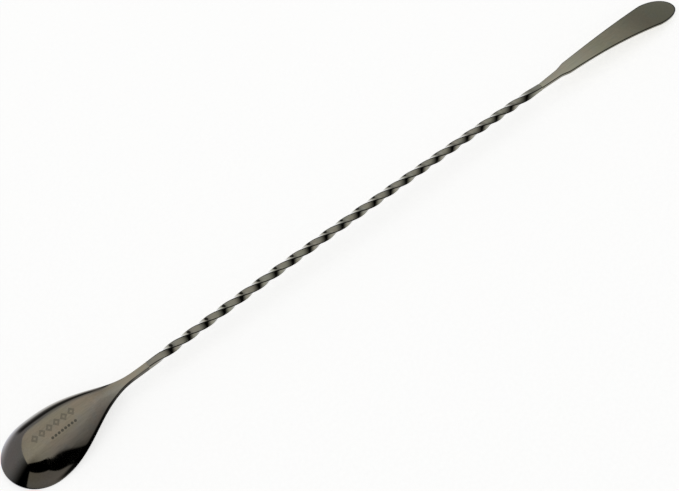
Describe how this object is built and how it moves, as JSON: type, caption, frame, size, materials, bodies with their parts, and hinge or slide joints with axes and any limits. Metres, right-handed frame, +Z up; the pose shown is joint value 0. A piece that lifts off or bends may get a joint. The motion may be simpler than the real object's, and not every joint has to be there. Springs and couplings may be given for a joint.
{
  "type": "bar spoon",
  "caption": "Long bar spoon with an egg-shaped bowl, a twisted square bar and a flat paddle tail, in dark polished steel.",
  "frame": {"origin": "on the table under the middle of the overall length, where the lowest point is at Z = 0", "axes": "+X from the bowl to the paddle tail, +Z up with the back of the bowl on top, +Y across"},
  "size_m": [0.3, 0.0248, 0.01],
  "materials": {
    "bowl_steel": "polished stainless steel with a gun-metal coating",
    "bar_steel": "polished stainless steel with a gun-metal coating",
    "tail_steel": "polished stainless steel with a gun-metal coating",
    "braze": "filler metal, polished flush and under the same coating"
  },
  "bodies": {
    "root": {"bowl": "bowl_steel", "shaft": "bar_steel", "tail": "tail_steel", "bowl_braze": "braze", "tail_braze": "braze"}
  },
  "joints": []
}
